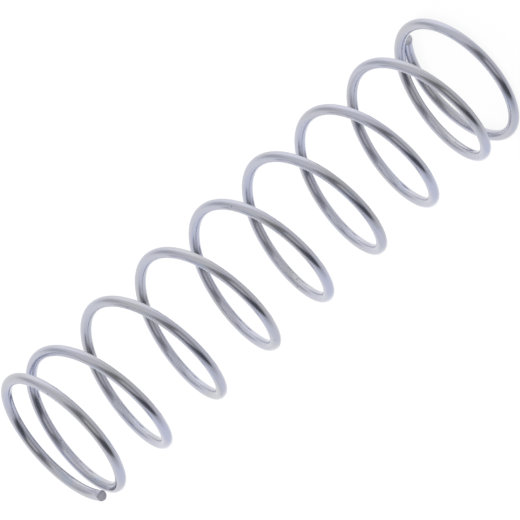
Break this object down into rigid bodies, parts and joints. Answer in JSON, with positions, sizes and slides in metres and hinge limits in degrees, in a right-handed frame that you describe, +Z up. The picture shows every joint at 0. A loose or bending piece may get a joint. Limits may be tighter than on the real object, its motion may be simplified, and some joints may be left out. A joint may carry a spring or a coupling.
{
  "type": "compression spring",
  "caption": "Open-coiled helical compression spring of round zinc-plated wire, right-hand wound, with closed unground ends.",
  "frame": {"origin": "centre of the coil on the surface that the foot coil stands on", "axes": "+Z up the coil axis from foot to head; +X from the axis towards the foot's cut face"},
  "size_m": [0.0126, 0.0126, 0.048],
  "materials": {
    "zinc_plated_wire": "bright zinc plate over drawn spring wire"
  },
  "bodies": {
    "root": {"coil_spring": "zinc_plated_wire"}
  },
  "joints": []
}
